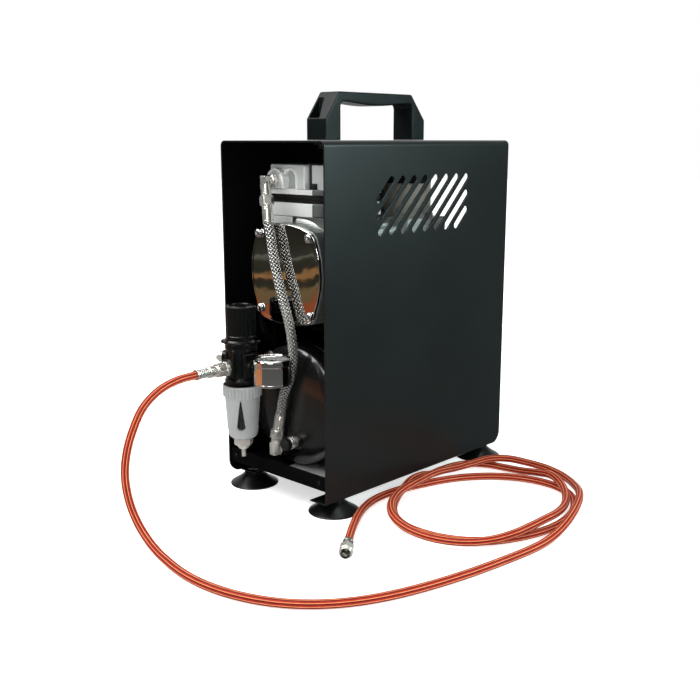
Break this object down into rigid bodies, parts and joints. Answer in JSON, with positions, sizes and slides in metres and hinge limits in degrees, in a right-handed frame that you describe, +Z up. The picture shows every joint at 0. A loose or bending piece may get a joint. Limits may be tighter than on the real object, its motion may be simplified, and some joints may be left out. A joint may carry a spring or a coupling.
{
  "type": "airbrush compressor",
  "caption": "Small piston air compressor in a folded steel case with a carry handle, air tank, regulator with moisture filter, gauge and a long striped air hose.",
  "frame": {"origin": "on the floor, under the middle of the case and its fittings, without the loose hose", "axes": "+Z up, +Y towards the open back of the case, -Y towards the open front with the regulator, +X towards the vented side panel"},
  "size_m": [0.3213, 0.4279, 0.3745],
  "materials": {
    "powder_black": "satin black powder coat",
    "gloss_black": "gloss black enamel",
    "black_plastic": "fine textured",
    "rubber": "smooth satin",
    "cast_aluminium": "fine blasted casting",
    "grey_plastic": "satin",
    "zinc_steel": "satin",
    "polished_chrome": "mirror",
    "nickel": "bright",
    "steel": "satin",
    "steel_braid": "woven",
    "copper": "lacquered winding",
    "smoke": "smoked clear",
    "clear_glass": "clear",
    "dial_white": "printed dial",
    "red_plastic": "gloss",
    "hose_orange": "striped woven cover"
  },
  "bodies": {
    "compressor": {"casing": "powder_black", "base_tray": "powder_black", "tank_cradle": "zinc_steel", "handle": "black_plastic", "handle_backing_plate": "steel", "foot_front_left": "rubber", "foot_front_right": "rubber", "foot_rear_left": "rubber", "foot_rear_right": "rubber", "air_tank": "gloss_black", "motor_mount": "powder_black", "tank_drain_valve": "nickel", "tank_elbow": "nickel", "discharge_elbow": "nickel", "braid_nut_top": "nickel", "braided_hose": "steel_braid", "braid_nut_bottom": "nickel", "crankcase": "cast_aluminium", "crankcase_cover": "polished_chrome", "cover_screw_1": "steel", "cover_screw_2": "steel", "cover_screw_3": "steel", "cover_screw_4": "steel", "cylinder": "cast_aluminium", "valve_plate": "black_plastic", "cylinder_head": "cast_aluminium", "head_screw_1": "gloss_black", "head_screw_2": "gloss_black", "motor_housing": "cast_aluminium", "stator": "copper", "intake_silencer": "grey_plastic", "intake_filter": "black_plastic", "control_box": "black_plastic", "motor_cable": "rubber", "regulator_body": "black_plastic", "port_plug": "nickel", "inlet_nipple": "nickel", "outlet_nipple": "nickel", "lock_ring": "black_plastic", "bowl_guard": "grey_plastic", "filter_bowl": "smoke", "drain_nut": "nickel", "gauge_case": "polished_chrome", "gauge_dial": "dial_white", "gauge_glass": "clear_glass", "air_hose": "hose_orange", "hose_coupling_start": "nickel", "hose_ferrule_end": "nickel"},
    "spindle": {"adjusting_spindle": "steel"},
    "knob": {"regulator_knob": "black_plastic"},
    "drain_knob": {"tank_drain_knob": "steel"},
    "bowl_drain": {"drain_pin": "nickel"},
    "needle": {"gauge_needle": "gloss_black"},
    "crank": {"crankshaft": "steel", "rotor": "steel", "cooling_fan": "black_plastic"},
    "piston": {"connecting_rod": "cast_aluminium"},
    "rocker": {"rocker_switch": "red_plastic"},
    "hose_nut": {"hose_end_nut": "nickel"}
  },
  "joints": [
    {"name": "pressure_screw", "type": "hinge", "parent": "compressor", "child": "spindle", "pos_m": [-0.03, -0.12175, 0.16], "axis": [0, 0, 1], "range_deg": [-720, 720]},
    {"name": "knob_lift", "type": "slide", "parent": "spindle", "child": "knob", "axis": [0, 0, 1], "range_m": [0, 0.003]},
    {"name": "tank_drain_turn", "type": "hinge", "parent": "compressor", "child": "drain_knob", "pos_m": [0.0095, -0.09575, 0.057], "axis": [0, -1, 0], "range_deg": [0, 720]},
    {"name": "bowl_drain_push", "type": "slide", "parent": "compressor", "child": "bowl_drain", "axis": [0, 0, 1], "range_m": [0, 0.002], "stiffness_N_per_m": 200, "springref_m": -0.001},
    {"name": "gauge_sweep", "type": "hinge", "parent": "compressor", "child": "needle", "pos_m": [0.012, -0.12175, 0.1387], "axis": [0, 0, -1], "range_deg": [0, 270]},
    {"name": "crank_spin", "type": "hinge", "parent": "compressor", "child": "crank", "pos_m": [0, 0.04225, 0.208], "axis": [0, 1, 0], "continuous": true},
    {"name": "piston_stroke", "type": "slide", "parent": "compressor", "child": "piston", "axis": [0, 0, 1], "range_m": [-0.016, 0]},
    {"name": "power_rocker", "type": "hinge", "parent": "compressor", "child": "rocker", "pos_m": [-0.0475, 0.14925, 0.2175], "axis": [-1, 0, 0], "range_deg": [0, 16]},
    {"name": "hose_nut_spin", "type": "hinge", "parent": "compressor", "child": "hose_nut", "pos_m": [0.13104, -0.15012, 0.007], "axis": [0.6174, -0.7867, 0], "continuous": true}
  ]
}
